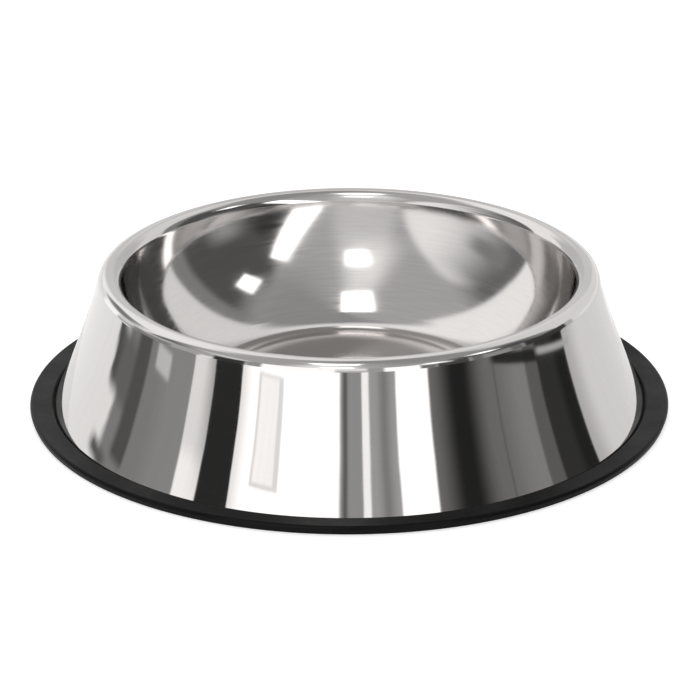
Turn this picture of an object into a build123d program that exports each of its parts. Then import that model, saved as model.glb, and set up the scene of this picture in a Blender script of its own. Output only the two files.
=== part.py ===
from build123d import *
import os
from math import acos, atan2, cos, degrees, dist, radians, sin, sqrt

# Non-tip dog bowl: one steel pressing with its foot flange held in a grooved rubber ring.
# Millimetres. The origin is on the floor, on the bowl's axis, and +Z is up.
# Leans are in degrees from upright, and curves are given by their radius in section.

# Steel pressing
sheet = 0.6              # thickness of the steel
bowl_height = 56.15      # underside of the foot flange to the top of the rim
rim_radius = 101.35      # outside of the rolled rim
rim_roll = 5.0           # outside radius of the roll itself
dish_depth = 49.0        # top of the rim down to the dish's floor
mouth_lean = 9.5         # lean of the dish's wall where it runs into the roll
upper_wall = 55.0        # curve of the wall below the roll
wall_turn = 34.0         # lean where the upper curve gives way to the lower one
lower_wall = 77.0        # curve of the wall above the floor
floor_round = 22.0       # curve of the wall into the floor
skirt_curve = 290.0      # hollow curve of the skirt from the roll to its foot
foot_radius = 120.7      # where that curve would meet the flange
flare = 0.8              # bend of the skirt into the flange
flange_width = 5.3       # end of the bend out to the cut edge

# Rubber ring
sole = 1.2               # rubber under the flange
lip = 1.6                # rubber over the flange, at its thickest
lip_fall = 0.35          # drop of the lip's top towards the skirt
lip_reach = 0.2          # lip drawn in over the end of the bend
ring_wall = 3.3          # rubber outside the flange's edge
ring_undercut = 0.7      # foot of the outer wall drawn in from its widest point
undercut_height = 2.0    # height of the widest point
shoulder_round = 1.2     # outer top edge
lip_round = 0.5          # inner top edge
sole_round = 0.4         # outer bottom edge
groove_play_over = 0.1   # clearance between the flange and the lip
groove_play_edge = 0.2   # clearance between the flange's edge and the groove


def arc(centre, radius, start, end):
    """Arc about a centre between two angles in degrees."""
    return CenterArc(centre, radius, start, end - start)


def on_circle(centre, radius, angle):
    """Point of a circle at an angle in degrees."""
    return (centre[0] + radius * cos(radians(angle)), centre[1] + radius * sin(radians(angle)))


def bearing(start, end):
    """Angle in degrees of the line from one point to another."""
    return degrees(atan2(end[1] - start[1], end[0] - start[0]))


def turned(edges):
    """Solid of revolution about the bowl's axis from the closed outline of one half of its section."""
    return revolve(Plane.XZ * make_face(edges), Axis.Z)


# Heights of the pressing on its ring
flange_top = sole + sheet
rim_top = sole + bowl_height
dish_floor = rim_top - dish_depth

# The roll, and the two curves of the dish's wall below it, each touching the next
rim_centre = (rim_radius - rim_roll, rim_top - rim_roll)
mouth = on_circle(rim_centre, rim_roll, 180 - mouth_lean)
upper_centre = on_circle(mouth, upper_wall, 180 - mouth_lean)
turn = on_circle(upper_centre, upper_wall, -wall_turn)
lower_centre = on_circle(turn, lower_wall, 180 - wall_turn)

# The round that touches the lower wall and the floor
round_height = dish_floor + floor_round
round_reach = sqrt((lower_wall - floor_round) ** 2 - (lower_centre[1] - round_height) ** 2)
round_centre = (lower_centre[0] + round_reach, round_height)
wall_foot = bearing(lower_centre, round_centre)

# The skirt's hollow curve, which touches the roll and runs down to the foot
foot = (foot_radius, flange_top)
skirt_reach = rim_roll + skirt_curve
skirt_span = dist(rim_centre, foot)
swing = acos((skirt_reach**2 + skirt_span**2 - skirt_curve**2) / (2 * skirt_reach * skirt_span))
roll_end = bearing(rim_centre, foot) + degrees(swing)
skirt_centre = on_circle(rim_centre, skirt_reach, roll_end)

# The bend that touches the skirt and the flange
flare_height = flange_top + flare
flare_reach = sqrt((skirt_curve - flare) ** 2 - (skirt_centre[1] - flare_height) ** 2)
flare_end = skirt_centre[0] - flare_reach
flare_centre = (flare_end, flare_height)
skirt_end = bearing(skirt_centre, flare_centre) % 360
flange_edge = flare_end + flange_width


def skin(depth):
    """Section of the pressing from the axis to the flange's edge, at a depth below the polished side."""
    return [
        Line((0, dish_floor - depth), (round_centre[0], dish_floor - depth)),
        arc(round_centre, floor_round + depth, -90, wall_foot),
        arc(lower_centre, lower_wall + depth, wall_foot, -wall_turn),
        arc(upper_centre, upper_wall + depth, -wall_turn, -mouth_lean),
        arc(rim_centre, rim_roll - depth, 180 - mouth_lean, roll_end),
        arc(skirt_centre, skirt_curve + depth, roll_end + 180, skirt_end),
        arc(flare_centre, flare + depth, skirt_end, 270),
        Line((flare_end, flange_top - depth), (flange_edge, flange_top - depth)),
    ]


def steel_bowl():
    """Dish, rolled rim, skirt and foot flange, pressed from one sheet."""
    axis_end = Line((0, dish_floor), (0, dish_floor - sheet))
    cut_edge = Line((flange_edge, flange_top), (flange_edge, sole))
    return turned(skin(0) + [cut_edge] + skin(sheet) + [axis_end])


def rubber_ring():
    """Ring with a groove that opens inwards and takes the flange."""
    groove_end = flange_edge + groove_play_edge
    outside = groove_end + ring_wall
    lip_edge = flare_end - lip_reach
    lip_under = flange_top + groove_play_over
    top = lip_under + lip
    corners = {
        (flare_end, 0): 0,
        (outside - ring_undercut, 0): sole_round,
        (outside, undercut_height): 0,
        (outside, top): shoulder_round,
        (lip_edge, top - lip_fall): lip_round,
        (lip_edge, lip_under): 0,
        (groove_end, lip_under): 0,
        (groove_end, sole): 0,
        (flare_end, sole): 0,
    }
    return turned(FilletPolyline(*corners, radius=corners.values(), close=True).edges())


os.makedirs("parts", exist_ok=True)
export_step(steel_bowl(), "parts/steel_bowl.step")
export_step(rubber_ring(), "parts/rubber_ring.step")
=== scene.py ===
from math import acos, atan2, cos, degrees, dist, pi, radians, sin, sqrt, tan

import bpy
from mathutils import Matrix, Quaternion, Vector


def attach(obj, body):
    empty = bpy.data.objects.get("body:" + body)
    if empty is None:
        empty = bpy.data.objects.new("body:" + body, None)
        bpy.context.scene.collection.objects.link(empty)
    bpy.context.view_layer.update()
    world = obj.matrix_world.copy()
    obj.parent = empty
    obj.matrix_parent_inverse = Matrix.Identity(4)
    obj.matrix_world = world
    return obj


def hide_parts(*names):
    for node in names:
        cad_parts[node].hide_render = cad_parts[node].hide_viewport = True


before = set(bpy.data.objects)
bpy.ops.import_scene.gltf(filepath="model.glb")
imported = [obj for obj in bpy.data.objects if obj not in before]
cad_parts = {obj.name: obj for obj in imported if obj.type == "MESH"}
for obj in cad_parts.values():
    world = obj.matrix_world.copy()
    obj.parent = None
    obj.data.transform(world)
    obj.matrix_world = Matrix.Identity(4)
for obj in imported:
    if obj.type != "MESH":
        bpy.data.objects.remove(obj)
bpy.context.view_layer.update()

# Sections are in millimetres, as (radius, height) on the bowl's axis, and the meshes are in metres.
MM = 0.001
SIDES = 288              # faces around each turned piece
ON_AXIS = 1e-6           # radius below which a point of a section is on the axis
DIGITS = 6               # decimals to which two points of a section are the same

# Steel pressing, the same sizes as the solid's
sheet = 0.6              # thickness of the steel
bowl_height = 56.15      # underside of the foot flange to the top of the rim
rim_radius = 101.35      # outside of the rolled rim
rim_roll = 5.0           # outside radius of the roll itself
dish_depth = 49.0        # top of the rim down to the dish's floor
mouth_lean = 9.5         # lean of the dish's wall where it runs into the roll
upper_wall = 55.0        # curve of the wall below the roll
wall_turn = 34.0         # lean where the upper curve gives way to the lower one
lower_wall = 77.0        # curve of the wall above the floor
floor_round = 22.0       # curve of the wall into the floor
skirt_curve = 290.0      # hollow curve of the skirt from the roll to its foot
foot_radius = 120.7      # where that curve would meet the flange
flare = 0.8              # bend of the skirt into the flange
flange_width = 5.3       # end of the bend out to the cut edge

# Rubber ring, the same sizes as the solid's
sole = 1.2               # rubber under the flange
lip = 1.6                # rubber over the flange, at its thickest
lip_fall = 0.35          # drop of the lip's top towards the skirt
lip_reach = 0.2          # lip drawn in over the end of the bend
ring_wall = 3.3          # rubber outside the flange's edge
ring_undercut = 0.7      # foot of the outer wall drawn in from its widest point
undercut_height = 2.0    # height of the widest point
shoulder_round = 1.2     # outer top edge
lip_round = 0.5          # inner top edge
sole_round = 0.4         # outer bottom edge
groove_play_over = 0.1   # clearance between the flange and the lip
groove_play_edge = 0.2   # clearance between the flange's edge and the groove

# Camera at the photograph's viewing angle, in metres and degrees, with lens and sensor in millimetres
CAMERA_AT = (0, -1.2233, 0.5207)
CAMERA_DOWN = 22.196
CAMERA_YAW = 0.017
CAMERA_ROLL = -0.165
CAMERA_LENS = 167.0
CAMERA_SENSOR = 36.0
CAMERA_NEAREST = 0.01


def on_circle(centre, radius, angle):
    """Point of a circle at an angle in degrees."""
    return (centre[0] + radius * cos(radians(angle)), centre[1] + radius * sin(radians(angle)))


def bearing(start, end):
    """Angle in degrees of the line from one point to another."""
    return degrees(atan2(end[1] - start[1], end[0] - start[0]))


# Turned meshes


class Outline:
    """Section of a turned piece as short steps, each with its ends, their normals and its finish."""

    def __init__(self):
        self.steps = []

    def line(self, start, end, finish=0, steps=1):
        """Straight run with its air on the left, looking from start to end."""
        length = dist(start, end)
        normal = ((start[1] - end[1]) / length, (end[0] - start[0]) / length)
        ends = [
            tuple(a + (b - a) * i / steps for a, b in zip(start, end))
            for i in range(steps + 1)
        ]
        for a, b in zip(ends, ends[1:]):
            self.steps.append((a, b, normal, normal, finish))

    def arc(self, centre, radius, start, end, finish=0, steps=1):
        """Arc between two angles, with its air on the left on the way."""
        side = 1 if start > end else -1
        angles = [start + (end - start) * i / steps for i in range(steps + 1)]
        for a, b in zip(angles, angles[1:]):
            ends = [on_circle(centre, radius, t) for t in (a, b)]
            normals = [(side * cos(radians(t)), side * sin(radians(t))) for t in (a, b)]
            self.steps.append((*ends, *normals, finish))

    def rounded(self, corners, steps):
        """Closed run through (point, radius) corners, each rounded by its radius."""
        legs = []
        for (p, _), (q, r), (s, _) in zip(corners[-1:] + corners, corners, corners[1:] + corners[:1]):
            before, after = bearing(p, q), bearing(q, s)
            bend = (after - before + 180) % 360 - 180
            reach = r * abs(tan(radians(bend) / 2))
            enter, leave = on_circle(q, reach, before + 180), on_circle(q, reach, after)
            left = 90 if bend > 0 else -90
            centre = on_circle(enter, r, before + left)
            legs.append((enter, leave, centre, r, before - left, bend))
        for (_, leave, centre, r, start, bend), following in zip(legs, legs[1:] + legs[:1]):
            if r:
                self.arc(centre, r, start, start + bend, steps=steps)
            self.line(leave, following[0])


def same_point(point):
    """Point to the digits at which two points are the same."""
    return tuple(round(c, DIGITS) for c in point)


def lathe(name, outline, materials):
    """Mesh that an outline makes when it is turned about the axis, with the outline's own normals."""
    points, index = [], {}
    for step in outline.steps:
        for point in step[:2]:
            if same_point(point) not in index:
                index[same_point(point)] = len(points)
                points.append(point)
    vertices, rings = [], []
    for radius, height in points:
        count = 1 if radius < ON_AXIS else SIDES
        rings.append((len(vertices), count))
        for side in range(count):
            angle = 2 * pi * side / SIDES
            vertices.append((radius * MM * cos(angle), radius * MM * sin(angle), height * MM))
    faces, finishes, normals, uvs = [], [], [], []
    run = 0.0
    for start, end, start_normal, end_normal, finish in outline.steps:
        length = dist(start, end)
        ends = [
            (rings[index[same_point(point)]], normal, along)
            for point, normal, along in ((start, start_normal, run), (end, end_normal, run + length))
        ]
        run += length
        for side in range(SIDES):
            corners = [(ends[0], side), (ends[1], side), (ends[1], side + 1), (ends[0], side + 1)]
            face = []
            for ((first, count), normal, along), place in corners:
                vertex = first + place % count
                if vertex in face:
                    continue
                face.append(vertex)
                angle = 2 * pi * place / SIDES
                normals.append((normal[0] * cos(angle), normal[0] * sin(angle), normal[1]))
                uvs.append((place / SIDES, along * MM))
            faces.append(face)
            finishes.append(finish)
    mesh = bpy.data.meshes.new(name)
    mesh.from_pydata(vertices, [], faces)
    for material in materials:
        mesh.materials.append(material)
    mesh.polygons.foreach_set("material_index", finishes)
    mesh.polygons.foreach_set("use_smooth", [True] * len(faces))
    layer = mesh.uv_layers.new(name="section")
    layer.data.foreach_set("uv", [c for uv in uvs for c in uv])
    mesh.normals_split_custom_set(normals)
    mesh.update()
    piece = bpy.data.objects.new(name, mesh)
    bpy.context.scene.collection.objects.link(piece)
    return piece


# Node trees

WHITE = (1, 1, 1, 1)


class Nodes:
    """Short way to add and join the nodes of one tree."""

    def __init__(self, owner):
        owner.use_nodes = True
        self.tree = owner.node_tree
        self.tree.nodes.clear()

    def add(self, kind, inputs=None, **settings):
        node = self.tree.nodes.new("ShaderNode" + kind)
        for name, value in settings.items():
            setattr(node, name, value)
        for name, value in (inputs or {}).items():
            if isinstance(value, bpy.types.NodeSocket):
                self.tree.links.new(value, node.inputs[name])
            else:
                node.inputs[name].default_value = value
        return node

    def math(self, operation, *values):
        return self.add("Math", dict(enumerate(values)), operation=operation).outputs[0]

    def vector(self, operation, *values):
        return self.add("VectorMath", dict(enumerate(values)), operation=operation).outputs[0]

    def ramp(self, value, low, high, start=0.0, end=1.0):
        """Start up to low, end from high on, and a soft change between them."""
        sockets = {"Value": value, "From Min": low, "From Max": high, "To Min": start, "To Max": end}
        return self.add("MapRange", sockets, interpolation_type="SMOOTHSTEP").outputs[0]

    def between(self, value, low, high, soft):
        """One from low to high and nothing outside, with one softness or one for each edge."""
        first, last = soft if isinstance(soft, tuple) else (soft, soft)
        rise = self.ramp(value, low - first, low + first)
        fall = self.ramp(value, high - last, high + last, 1.0, 0.0)
        return self.math("MULTIPLY", rise, fall)

    def mix(self, mask, under, over):
        return self.add("Mix", {0: mask, 2: under, 3: over}, data_type="FLOAT").outputs[0]

    def colours(self, value, stops):
        """Colour that changes with a value between two stops, each a position and a colour."""
        node = self.add("ValToRGB", {"Fac": value})
        for element, (position, colour) in zip(node.color_ramp.elements, stops):
            element.position = position
            element.color = (*colour, 1)
        return node.outputs[0]

    def noise(self, vector, scale, detail=2.0, roughness=0.5):
        sockets = {"Vector": vector, "Scale": scale, "Detail": detail, "Roughness": roughness}
        return self.add("TexNoise", sockets).outputs["Fac"]

    def bump(self, height, distance, normal=None):
        sockets = {"Height": height, "Distance": distance, "Strength": 1.0}
        if normal:
            sockets["Normal"] = normal
        return self.add("Bump", sockets).outputs[0]

    def place(self):
        return self.add("TexCoord").outputs["Object"]

    def parts(self, vector):
        return self.add("SeparateXYZ", {0: vector}).outputs

    def emission(self, strength):
        return self.add("Emission", {"Color": WHITE, "Strength": strength}).outputs[0]

    def background(self, strength):
        return self.add("Background", {"Color": WHITE, "Strength": strength}).outputs[0]

    def blend(self, mask, under, over):
        return self.add("MixShader", {0: mask, 1: under, 2: over}).outputs[0]

    def output(self, shader, kind="Material"):
        self.add("Output" + kind, {"Surface": shader})


# Materials

NOISE_SPAN = (0.3, 0.7)   # where most of one noise lies
NOISE_MIDDLE = 0.5
SUM_SPAN = (0.7, 1.3)     # where most of the sum of two lies

STEEL_TINT = (1.0, 0.967, 0.95)
LINES_AROUND = 5.0        # how fast the polishing lines change around the axis
LINES_IN_SHADE = 0.6      # share of the polishing lines in the steel's uneven shade
WAVE_SCALE = 42.0         # unevenness of the pressed sheet
CLOUD_SCALE = 16.0        # slower clouds in its shade and polish

RUBBER_STOPS = ((0.3, (0.003, 0.003, 0.003)), (0.75, (0.006, 0.006, 0.0062)))
RUBBER_ROUGHNESS = (0.36, 0.5)
RUBBER_SHEEN = 0.11
GRAIN_SCALE = 2600.0
GRAIN_DEPTH = 0.00002
BLOOM_SCALE = 55.0
BLOOM_DEPTH = 0.00012


def polishing_lines(nodes, around, along):
    """Place on the sheet that changes slowly around the axis and fast along the section."""
    flat = nodes.vector("MULTIPLY", nodes.place(), (1, 1, 0))
    heading = nodes.vector("MULTIPLY", nodes.vector("NORMALIZE", flat), (around, around, 0))
    length = nodes.parts(nodes.add("UVMap", uv_map="section").outputs[0])["Y"]
    reach = nodes.add("CombineXYZ", {"Z": nodes.math("MULTIPLY", length, along)}).outputs[0]
    return nodes.vector("ADD", heading, reach)


def steel(name, roughness, shade, lines, line_depth, wave_depth):
    """Polished steel with fine lines around the axis and a slow unevenness of the pressed sheet."""
    material = bpy.data.materials.new(name)
    nodes = Nodes(material)
    place = nodes.place()
    fine = nodes.noise(polishing_lines(nodes, LINES_AROUND, lines), 1.0, detail=3.0, roughness=0.6)
    slow = nodes.noise(place, WAVE_SCALE, detail=1.0)
    cloud = nodes.noise(place, CLOUD_SCALE, detail=3.0)
    normal = nodes.bump(fine, line_depth, nodes.bump(slow, wave_depth))
    stops = [
        (position, [level * tint for tint in STEEL_TINT])
        for position, level in zip(NOISE_SPAN, shade)
    ]
    shader = nodes.add("BsdfPrincipled", {
        "Base Color": nodes.colours(nodes.mix(LINES_IN_SHADE, cloud, fine), stops),
        "Metallic": 1.0,
        "Roughness": nodes.ramp(nodes.math("ADD", fine, cloud), *SUM_SPAN, *roughness),
        "Normal": normal,
    })
    nodes.output(shader.outputs[0])
    return material


def rubber(name):
    """Moulded black rubber with a fine grain and a faint bloom."""
    material = bpy.data.materials.new(name)
    nodes = Nodes(material)
    place = nodes.place()
    grain = nodes.noise(place, GRAIN_SCALE)
    bloom = nodes.noise(place, BLOOM_SCALE, detail=4.0, roughness=0.6)
    shader = nodes.add("BsdfPrincipled", {
        "Base Color": nodes.colours(bloom, RUBBER_STOPS),
        "Roughness": nodes.ramp(nodes.math("ADD", grain, bloom), *SUM_SPAN, *RUBBER_ROUGHNESS),
        "Specular IOR Level": RUBBER_SHEEN,
        "Normal": nodes.bump(grain, GRAIN_DEPTH, nodes.bump(bloom, BLOOM_DEPTH)),
    })
    nodes.output(shader.outputs[0])
    return material


# Heights of the pressing on its ring
flange_top = sole + sheet
rim_top = sole + bowl_height
dish_floor = rim_top - dish_depth

# The roll, and the two curves of the dish's wall below it, each touching the next
rim_centre = (rim_radius - rim_roll, rim_top - rim_roll)
mouth = on_circle(rim_centre, rim_roll, 180 - mouth_lean)
upper_centre = on_circle(mouth, upper_wall, 180 - mouth_lean)
turn = on_circle(upper_centre, upper_wall, -wall_turn)
lower_centre = on_circle(turn, lower_wall, 180 - wall_turn)

# The round that touches the lower wall and the floor
round_height = dish_floor + floor_round
round_reach = sqrt((lower_wall - floor_round) ** 2 - (lower_centre[1] - round_height) ** 2)
round_centre = (lower_centre[0] + round_reach, round_height)
wall_foot = bearing(lower_centre, round_centre)

# The skirt's hollow curve, which touches the roll and runs down to the foot
foot = (foot_radius, flange_top)
skirt_reach = rim_roll + skirt_curve
skirt_span = dist(rim_centre, foot)
swing = acos((skirt_reach**2 + skirt_span**2 - skirt_curve**2) / (2 * skirt_reach * skirt_span))
roll_end = bearing(rim_centre, foot) + degrees(swing)
skirt_centre = on_circle(rim_centre, skirt_reach, roll_end)

# The bend that touches the skirt and the flange
flare_height = flange_top + flare
flare_reach = sqrt((skirt_curve - flare) ** 2 - (skirt_centre[1] - flare_height) ** 2)
flare_end = skirt_centre[0] - flare_reach
flare_centre = (flare_end, flare_height)
skirt_end = bearing(skirt_centre, flare_centre) % 360
flange_edge = flare_end + flange_width

MIRROR, SATIN, MILL = range(3)


def steel_outline():
    """Polished side from the axis out to the flange's edge, then the underside back to the axis."""
    outline = Outline()
    outline.line((0, dish_floor), (round_centre[0], dish_floor), SATIN, steps=24)
    outline.arc(round_centre, floor_round, -90, wall_foot, SATIN, steps=20)
    outline.arc(lower_centre, lower_wall, wall_foot, -wall_turn, SATIN, steps=16)
    outline.arc(upper_centre, upper_wall, -wall_turn, -mouth_lean, SATIN, steps=18)
    outline.arc(rim_centre, rim_roll, 180 - mouth_lean, roll_end, SATIN, steps=56)
    outline.arc(skirt_centre, skirt_curve, roll_end + 180, skirt_end, MIRROR, steps=40)
    outline.arc(flare_centre, flare, skirt_end, 270, MIRROR, steps=8)
    outline.line((flare_end, flange_top), (flange_edge, flange_top), MIRROR, steps=2)
    outline.line((flange_edge, flange_top), (flange_edge, sole), MILL)
    outline.line((flange_edge, sole), (flare_end, sole), MILL, steps=2)
    outline.arc(flare_centre, flare + sheet, 270, skirt_end, MILL, steps=8)
    outline.arc(skirt_centre, skirt_curve + sheet, skirt_end, roll_end + 180, MILL, steps=24)
    outline.arc(rim_centre, rim_roll - sheet, roll_end, 180 - mouth_lean, MILL, steps=28)
    outline.arc(upper_centre, upper_wall + sheet, -mouth_lean, -wall_turn, MILL, steps=10)
    outline.arc(lower_centre, lower_wall + sheet, -wall_turn, wall_foot, MILL, steps=10)
    outline.arc(round_centre, floor_round + sheet, wall_foot, -90, MILL, steps=12)
    outline.line((round_centre[0], dish_floor - sheet), (0, dish_floor - sheet), MILL, steps=12)
    return outline


def ring_outline():
    """Ring with a groove that opens inwards and takes the flange."""
    groove_end = flange_edge + groove_play_edge
    outside = groove_end + ring_wall
    lip_edge = flare_end - lip_reach
    lip_under = flange_top + groove_play_over
    top = lip_under + lip
    corners = [
        ((flare_end, sole), 0),
        ((groove_end, sole), 0),
        ((groove_end, lip_under), 0),
        ((lip_edge, lip_under), 0),
        ((lip_edge, top - lip_fall), lip_round),
        ((outside, top), shoulder_round),
        ((outside, undercut_height), 0),
        ((outside - ring_undercut, 0), sole_round),
        ((flare_end, 0), 0),
    ]
    outline = Outline()
    outline.rounded(corners, steps=8)
    return outline


# The bowl

steel_finishes = [
    steel(
        "mirror_steel", roughness=(0.03, 0.06), shade=(0.668, 0.684),
        lines=1600.0, line_depth=2e-7, wave_depth=4e-5,
    ),
    steel(
        "satin_steel", roughness=(0.06, 0.13), shade=(0.64, 0.71),
        lines=1300.0, line_depth=2.5e-6, wave_depth=2e-5,
    ),
    steel(
        "mill_steel", roughness=(0.2, 0.34), shade=(0.6, 0.72),
        lines=900.0, line_depth=4e-6, wave_depth=3e-5,
    ),
]
bowl = lathe("bowl_pressing", steel_outline(), steel_finishes)
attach(bowl, "root")
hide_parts("steel_bowl")

ring = lathe("rubber_ring_moulding", ring_outline(), [rubber("black_rubber")])
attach(ring, "root")
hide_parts("rubber_ring")

# Studio
# Headings are in degrees from the camera's side of the bowl, positive to the camera's right, and rises in
# degrees above the floor. Across and ahead are places on a ceiling one unit up, to the camera's right and
# towards the camera. Light is 1 where a white card reads as white. Panels are laid over each other in order:
# each has its light and then its edges, as place, from, to and softness, with one softness for both edges or
# one for each.

STUDIO_LIGHT = 0.50
STUDIO_DOMES = {          # arched edges: heading of the middle, half width, rise of the top
    "arch": (-70, 42, 45),
    "dark": (100, 70, 63),
}
STUDIO = [
    (0.36, ("heading", 35, 250, 25), ("rise", 50, 140, 15)),
    (0.36, ("heading", -250, -166, 14), ("rise", 50, 140, 15)),
    (0.72, ("heading", -24, 8, 6), ("rise", -30, 78, 8)),
    (1.05, ("heading", -29, 0, (12, 9)), ("rise", 34, 72, 14)),
    (1.10, ("arch", -1, 1, 0.06)),
    (0.18, ("heading", -108, -71, (1, 30)), ("rise", -30, 42, 7)),
    (1.15, ("heading", -250, -107, 2), ("rise", -30, 62, 5)),
    (1.02, ("heading", -250, -166, 12), ("rise", -30, 61, 5)),
    (0.76, ("heading", -250, -163, 4), ("rise", -30, 27, 4)),
    (0.105, ("dark", -1, 1, 0.05), ("heading", 20, 250, 2), ("leaning", -250, 99, 2), ("rise", -30, 51, 7)),
    (0.05, ("heading", 35, 50, 4), ("rise", -30, 20, 5)),
    (0.38, ("heading", 59, 76, 8), ("rise", -30, 14, 6)),
    (0.28, ("leaning", 95, 108, 3), ("rise", -30, 54, 5)),
    (0.90, ("leaning", 107, 250, 2), ("rise", -30, 60, 5)),
    (1.02, ("heading", 166, 250, 12), ("rise", -30, 61, 5)),
    (0.76, ("heading", 163, 250, 4), ("rise", -30, 27, 4)),
    (2.80, ("left", -9, 0.55, 0.05), ("right", 0.53, 99, 0.08), ("near", 0.57, 99, 0.02)),
    (3.00, ("across", -0.17, 0.05, 0.01), ("ahead", 0.08, 0.34, 0.01)),
    (3.00, ("across", -0.22, 0.03, 0.03), ("ahead", 0.74, 1.09, 0.05)),
    (2.30, ("across", 0.81, 1.10, 0.02), ("ahead", 0.10, 0.34, 0.02)),
]
STUDIO_LEAN = 0.16        # lean of the edges at the right, in degrees of heading for each degree of rise
STUDIO_HORIZON = 0.02     # least height of a direction, so that places on the ceiling stay finite
# Long sides and near end of the slanting lamp: across less so much ahead, or ahead less so much across
LAMP_LEFT = 0.5
LAMP_RIGHT = 0.2
LAMP_NEAR = 0.23

# Low cards round the foot, which only the skirt mirrors
CARD_RADIUS = 0.17
CARD_TOP = 0.065
CARD_LIGHT = 1.04
CARD_MIDDLE = 0.03        # height at which they stand at the headings given
CARD_SPREAD = 2.0         # spread of the cards' edges with height, as a share for each metre
CARD_SWAY = 0.7           # unevenness of their edges, in degrees
CARD_SWAY_SCALE = 45.0
CLOTH_SWAY = 4.0          # the same at the dark cloth on the left
CLOTH_SWAY_SCALE = 75.0
CARD_SLANT = 0.000447     # fall of the slanting edges, in metres for each degree of heading
CARD_THREADS = (420.0, 420.0, 8.0)
CARD_THREAD_LIGHT = (0.98, 1.02)
CARDS = [
    (0.12, ("heading", 132, 146, 1), ("height", 0.022, 1, 0.006)),
    (0.35, ("heading", 158, 163, 1), ("height", 0.022, 1, 0.006)),
    (0.12, ("heading", -150, -136, 1), ("height", 0.022, 1, 0.006)),
    (0.35, ("heading", -172, -165, 1), ("height", 0.022, 1, 0.006)),
    (0.87, ("heading", 75, 130, 3)),
    (0.60, ("heading", 74, 81, (1, 5))),
    (0.28, ("cloth", -78.5, -40, 1.5), ("height", 0.0095, 1, 0.003)),
    (0.17, ("cloth", -84.8, -70, 1.2), ("height", 0.028, 0.0455, (0.003, 0.004))),
    (0.10, ("cloth", -86, -82.5, (1.2, 2.5)), ("height", 0.029, 0.0465, 0.003)),
    (0.14, ("cloth", -84, -74, (2.5, 2)), ("height", 0.0095, 0.0140, 0.002)),
    (0.11, ("heading", -72.8, -66.2, (1.5, 0.8)), ("height", 0.016, 1, 0.002)),
    (0.33, ("heading", -58, -40, (4, 0.4))),
    (0.69, ("heading", -62.8, -56.3, 0.8), ("height", 0.0462, 0.0524, 0.001)),
    (1.28, ("heading", -47, -39.8, 0.4)),
    (1.00, ("heading", -47, -39.8, 0.4), ("height", 0.034, 1, 0.004)),
    (0.50, ("heading", -41.5, -39.8, (2.5, 0.4)), ("height", 0.034, 1, 0.02)),
    (0.03, ("heading", -39.8, -30.6, 0.3)),
    (1.65, ("heading", -30.6, -2.4, 0.4)),
    (1.12, ("heading", -30.6, -28.8, (0.4, 2.5))),
    (1.02, ("heading", -25.6, -18.2, 0.3), ("height", 0.0325, 0.0605, 0.0006)),
    (1.36, ("heading", -24.9, -19.5, 0.3), ("height", 0.0338, 0.0597, 0.0006)),
    (0.38, ("heading", -2.4, 3.5, (0.6, 0.3))),
    (0.13, ("heading", -1.6, -0.5, 0.6)),
    (1.30, ("heading", 3.5, 5.4, 0.4)),
    (0.46, ("heading", 5.4, 12.9, 0.4)),
    (0.25, ("heading", 8.3, 10.8, 1.8)),
    (1.70, ("heading", 12.9, 22.3, 0.4)),
    (0.20, ("heading", 22.3, 62, 0.5)),
    (0.022, ("heading", 26, 36.6, 4)),
    (0.29, ("heading", 47, 55.2, (5, 0.6))),
    (0.15, ("heading", 43, 43.6, 0.35)),
    (0.145, ("heading", 55.2, 60.3, 0.6)),
    (0.042, ("heading", 60.3, 75, 0.6)),
    (0.022, ("heading", 69, 75, (2, 0.5))),
    (0.028, ("slant", 0.0756, 0.0786, 0.0005), ("heading", 43, 61, 1.5)),
    (0.55, ("slant", 0.0771, 0.0788, 0.0006), ("heading", 61, 78, 1.5)),
]

# A narrow belt of cards close round the rim, which only the outside of the roll mirrors
BELT_RADIUS = 0.1055
BELT_BOTTOM = 0.0543
BELT_TOP = 0.0593
BELT_LIGHT = 1.0
BELT = [
    (0.80, ("height", 0.0585, 1, 0.003)),
    (1.30, ("heading", -80, -68, 2)),
    (0.90, ("heading", -68, -52, 1)),
    (0.27, ("heading", -68, -60, 1), ("height", 0, 0.0552, 0.0025)),
    (0.30, ("heading", -60, -44, 1.5), ("height", 0, 0.0582, 0.002)),
    (0.50, ("heading", -45, -32, 1.5)),
    (1.20, ("heading", -36, -32.3, 0.8), ("height", 0, 0.0555, 0.0015)),
    (0.04, ("heading", -32.3, -24, 0.6)),
    (0.38, ("heading", -24, -20, 1)),
    (0.30, ("heading", -32.3, -20, 0.8), ("height", 0.0583, 1, 0.001)),
    (1.50, ("heading", -20, -3, 0.6)),
    (1.10, ("heading", -3, 4, 1)),
    (0.60, ("heading", -3, 4, 1), ("height", 0, 0.0562, 0.001)),
    (0.45, ("heading", 4, 8, 0.6)),
    (1.55, ("heading", 8, 16.3, 0.6)),
    (0.22, ("heading", 16.3, 20, 0.6)),
    (0.07, ("heading", 20, 28.5, 0.8)),
    (1.10, ("heading", 16.5, 24, 0.8), ("height", 0.0582, 1, 0.0006)),
    (0.19, ("heading", 28.5, 44, 1)),
    (0.36, ("heading", 32, 40, 1), ("height", 0, 0.0588, 0.001)),
    (0.055, ("heading", 44, 60.5, 1)),
    (0.55, ("heading", 60.5, 64, 1)),
    (0.90, ("heading", 64, 68, 1)),
]


def paint(nodes, places, light, panels):
    """Light after each panel has been laid over those before it."""
    for value, *edges in panels:
        masks = [nodes.between(places[place], *edge) for place, *edge in edges]
        mask = masks[0]
        for other in masks[1:]:
            mask = nodes.math("MULTIPLY", mask, other)
        light = nodes.mix(mask, light, value)
    return light


def heading_of(nodes, x, y):
    """Heading of a place or direction."""
    return nodes.math("DEGREES", nodes.math("ARCTAN2", x, nodes.math("MULTIPLY", y, -1.0)))


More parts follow.
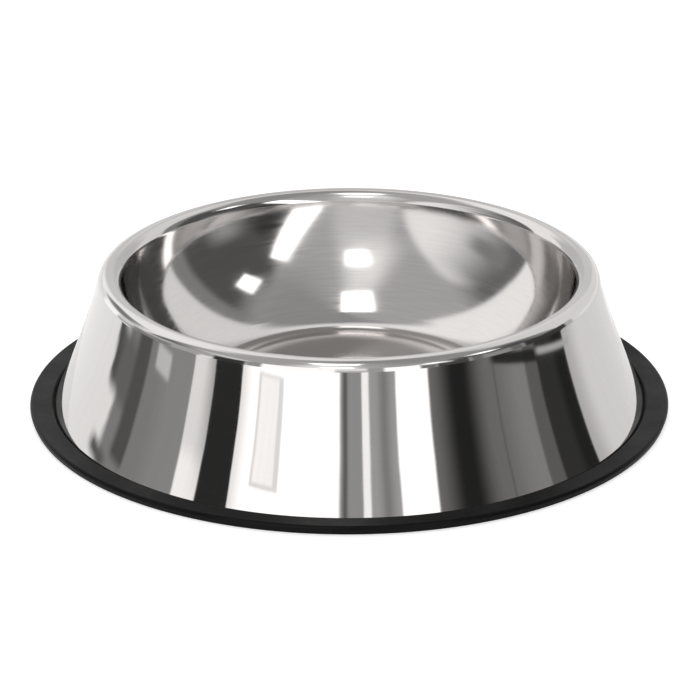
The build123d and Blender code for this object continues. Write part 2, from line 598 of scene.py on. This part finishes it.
def studio_light(nodes):
    """Light from each direction."""
    x, y, z = nodes.parts(nodes.add("TexCoord").outputs["Generated"])
    heading = heading_of(nodes, x, y)
    rise = nodes.math("DEGREES", nodes.math("ARCSINE", z))
    height = nodes.math("MAXIMUM", z, STUDIO_HORIZON)
    across = nodes.math("DIVIDE", x, height)
    ahead = nodes.math("MULTIPLY", nodes.math("DIVIDE", y, height), -1.0)
    places = {
        "heading": heading,
        "rise": rise,
        "leaning": nodes.math("SUBTRACT", heading, nodes.math("MULTIPLY", rise, STUDIO_LEAN)),
        "across": across,
        "ahead": ahead,
        "left": nodes.math("SUBTRACT", across, nodes.math("MULTIPLY", ahead, LAMP_LEFT)),
        "right": nodes.math("SUBTRACT", across, nodes.math("MULTIPLY", ahead, LAMP_RIGHT)),
        "near": nodes.math("SUBTRACT", ahead, nodes.math("MULTIPLY", across, LAMP_NEAR)),
    }
    for name, (middle, width, top) in STUDIO_DOMES.items():
        sideways = nodes.math("DIVIDE", nodes.math("SUBTRACT", heading, middle), width)
        upwards = nodes.math("DIVIDE", rise, top)
        squares = [nodes.math("MULTIPLY", part, part) for part in (sideways, upwards)]
        places[name] = nodes.math("SQRT", nodes.math("ADD", *squares))
    return paint(nodes, places, STUDIO_LIGHT, STUDIO)


def card_light(nodes, middle, light, panels):
    """Light from each place on a ring of cards."""
    place = nodes.place()
    x, y, z = nodes.parts(place)
    above = nodes.math("SUBTRACT", z, middle)
    spread = nodes.math("SUBTRACT", 1.0, nodes.math("MULTIPLY", above, CARD_SPREAD))
    heading = nodes.math("MULTIPLY", heading_of(nodes, x, y), spread)
    card_sway = nodes.math("SUBTRACT", nodes.noise(place, CARD_SWAY_SCALE), NOISE_MIDDLE)
    cloth_sway = nodes.math("SUBTRACT", nodes.noise(place, CLOTH_SWAY_SCALE), NOISE_MIDDLE)
    places = {
        "heading": nodes.math("MULTIPLY_ADD", card_sway, CARD_SWAY, heading),
        "cloth": nodes.math("MULTIPLY_ADD", cloth_sway, CLOTH_SWAY, heading),
        "height": z,
        "slant": nodes.math("MULTIPLY_ADD", heading, CARD_SLANT, z),
    }
    threads = nodes.noise(nodes.vector("MULTIPLY", place, CARD_THREADS), 1.0, detail=3.0, roughness=0.6)
    woven = nodes.ramp(threads, *NOISE_SPAN, *CARD_THREAD_LIGHT)
    return nodes.math("MULTIPLY", paint(nodes, places, light, panels), woven)


def for_mirrors_only(cards):
    """Keep cards out of the picture, the floor's light and the shadows."""
    cards.visible_camera = False
    cards.visible_diffuse = False
    cards.visible_transmission = False
    cards.visible_shadow = False


def card_ring(name, radius, bottom, top, middle, light, panels):
    """Ring of glowing cards that only polished faces see."""
    stock = bpy.data.materials.new(name + "_stock")
    nodes = Nodes(stock)
    nodes.output(nodes.emission(card_light(nodes, middle, light, panels)))
    outline = Outline()
    outline.line((radius / MM, bottom / MM), (radius / MM, top / MM))
    for_mirrors_only(lathe(name, outline, [stock]))


def soft_card(name, heading, distance, width, bottom, top, light, cover):
    """Upright card that faces the bowl and fades out towards the edges of its cover."""
    stock = bpy.data.materials.new(name + "_stock")
    nodes = Nodes(stock)
    x, y, z = nodes.parts(nodes.place())
    places = {"heading": heading_of(nodes, x, y), "height": z, "across": x}
    solid = paint(nodes, places, 0.0, [(1.0, *cover)])
    clear = nodes.add("BsdfTransparent").outputs[0]
    nodes.output(nodes.blend(solid, clear, nodes.emission(light)))
    angle = radians(heading)
    middle = Vector((sin(angle), -cos(angle), 0)) * distance
    side = Vector((cos(angle), sin(angle), 0)) * width / 2
    foot_line = [middle - side, middle + side]
    corners = [end + Vector((0, 0, bottom)) for end in foot_line]
    corners += [end + Vector((0, 0, top)) for end in reversed(foot_line)]
    mesh = bpy.data.meshes.new(name)
    mesh.from_pydata(corners, [], [(0, 1, 2, 3)])
    mesh.materials.append(stock)
    card = bpy.data.objects.new(name, mesh)
    bpy.context.scene.collection.objects.link(card)
    for_mirrors_only(card)


card_ring("foot_cards", CARD_RADIUS, 0, CARD_TOP, CARD_MIDDLE, CARD_LIGHT, CARDS)
card_ring("rim_cards", BELT_RADIUS, BELT_BOTTOM, BELT_TOP, BELT_TOP, BELT_LIGHT, BELT)
soft_card(
    "left_card", heading=-98, distance=0.165, width=0.16, bottom=0.079, top=0.14, light=0.27,
    cover=(("heading", -116, -86, (4, 9)), ("height", 0.09, 0.129, 0.01)),
)
soft_card(
    "back_card", heading=180, distance=0.17, width=0.17, bottom=0.05, top=0.175, light=0.66,
    cover=(("across", -0.064, 0.064, 0.02), ("height", 0.058, 0.152, (0.005, 0.02))),
)

# The studio lights the bowl, and the camera sees plain white instead of it
world = bpy.data.worlds.new("studio")
bpy.context.scene.world = world
nodes = Nodes(world)
seen = nodes.add("LightPath").outputs["Is Camera Ray"]
studio = nodes.background(studio_light(nodes))
nodes.output(nodes.blend(seen, studio, nodes.background(1.0)), "World")

# Pale floor with the bowl's own shadow on it
FLOOR_SIZE = 6.0
FLOOR_DROP = 0.0002       # gap under the ring's sole, so that the two faces don't coincide
FLOOR_COLOUR = (0.9, 0.9, 0.9, 1)
FLOOR_LIFT = 0.54         # light that the camera sees in the paper besides its own
FLOOR_MIRRORED = 0.24     # the same in the steel
bpy.ops.mesh.primitive_plane_add(size=FLOOR_SIZE, location=(0, 0, -FLOOR_DROP))
floor = bpy.context.object
floor.name = "floor"
paper = bpy.data.materials.new("floor_paper")
nodes = Nodes(paper)
path = nodes.add("LightPath").outputs
shown = nodes.math("MAXIMUM", path["Is Camera Ray"], path["Is Transmission Ray"])
lift = nodes.math("MULTIPLY", shown, FLOOR_LIFT)
lift = nodes.math("MULTIPLY_ADD", path["Is Glossy Ray"], FLOOR_MIRRORED, lift)
matt = nodes.add("BsdfDiffuse", {"Color": FLOOR_COLOUR}).outputs[0]
nodes.output(nodes.add("AddShader", {0: nodes.emission(lift), 1: matt}).outputs[0])
floor.data.materials.append(paper)

# Camera
pitch, yaw = radians(CAMERA_DOWN), radians(CAMERA_YAW)
look = Vector((sin(yaw) * cos(pitch), cos(yaw) * cos(pitch), -sin(pitch)))
roll = Quaternion((0, 0, 1), radians(CAMERA_ROLL))
camera = bpy.data.objects.new("camera", bpy.data.cameras.new("camera"))
camera.data.lens = CAMERA_LENS
camera.data.sensor_width = CAMERA_SENSOR
camera.data.clip_start = CAMERA_NEAREST
camera.location = CAMERA_AT
camera.rotation_mode = "QUATERNION"
camera.rotation_quaternion = look.to_track_quat("-Z", "Y") @ roll
bpy.context.scene.collection.objects.link(camera)
bpy.context.scene.camera = camera
bpy.context.scene.view_settings.view_transform = "Standard"
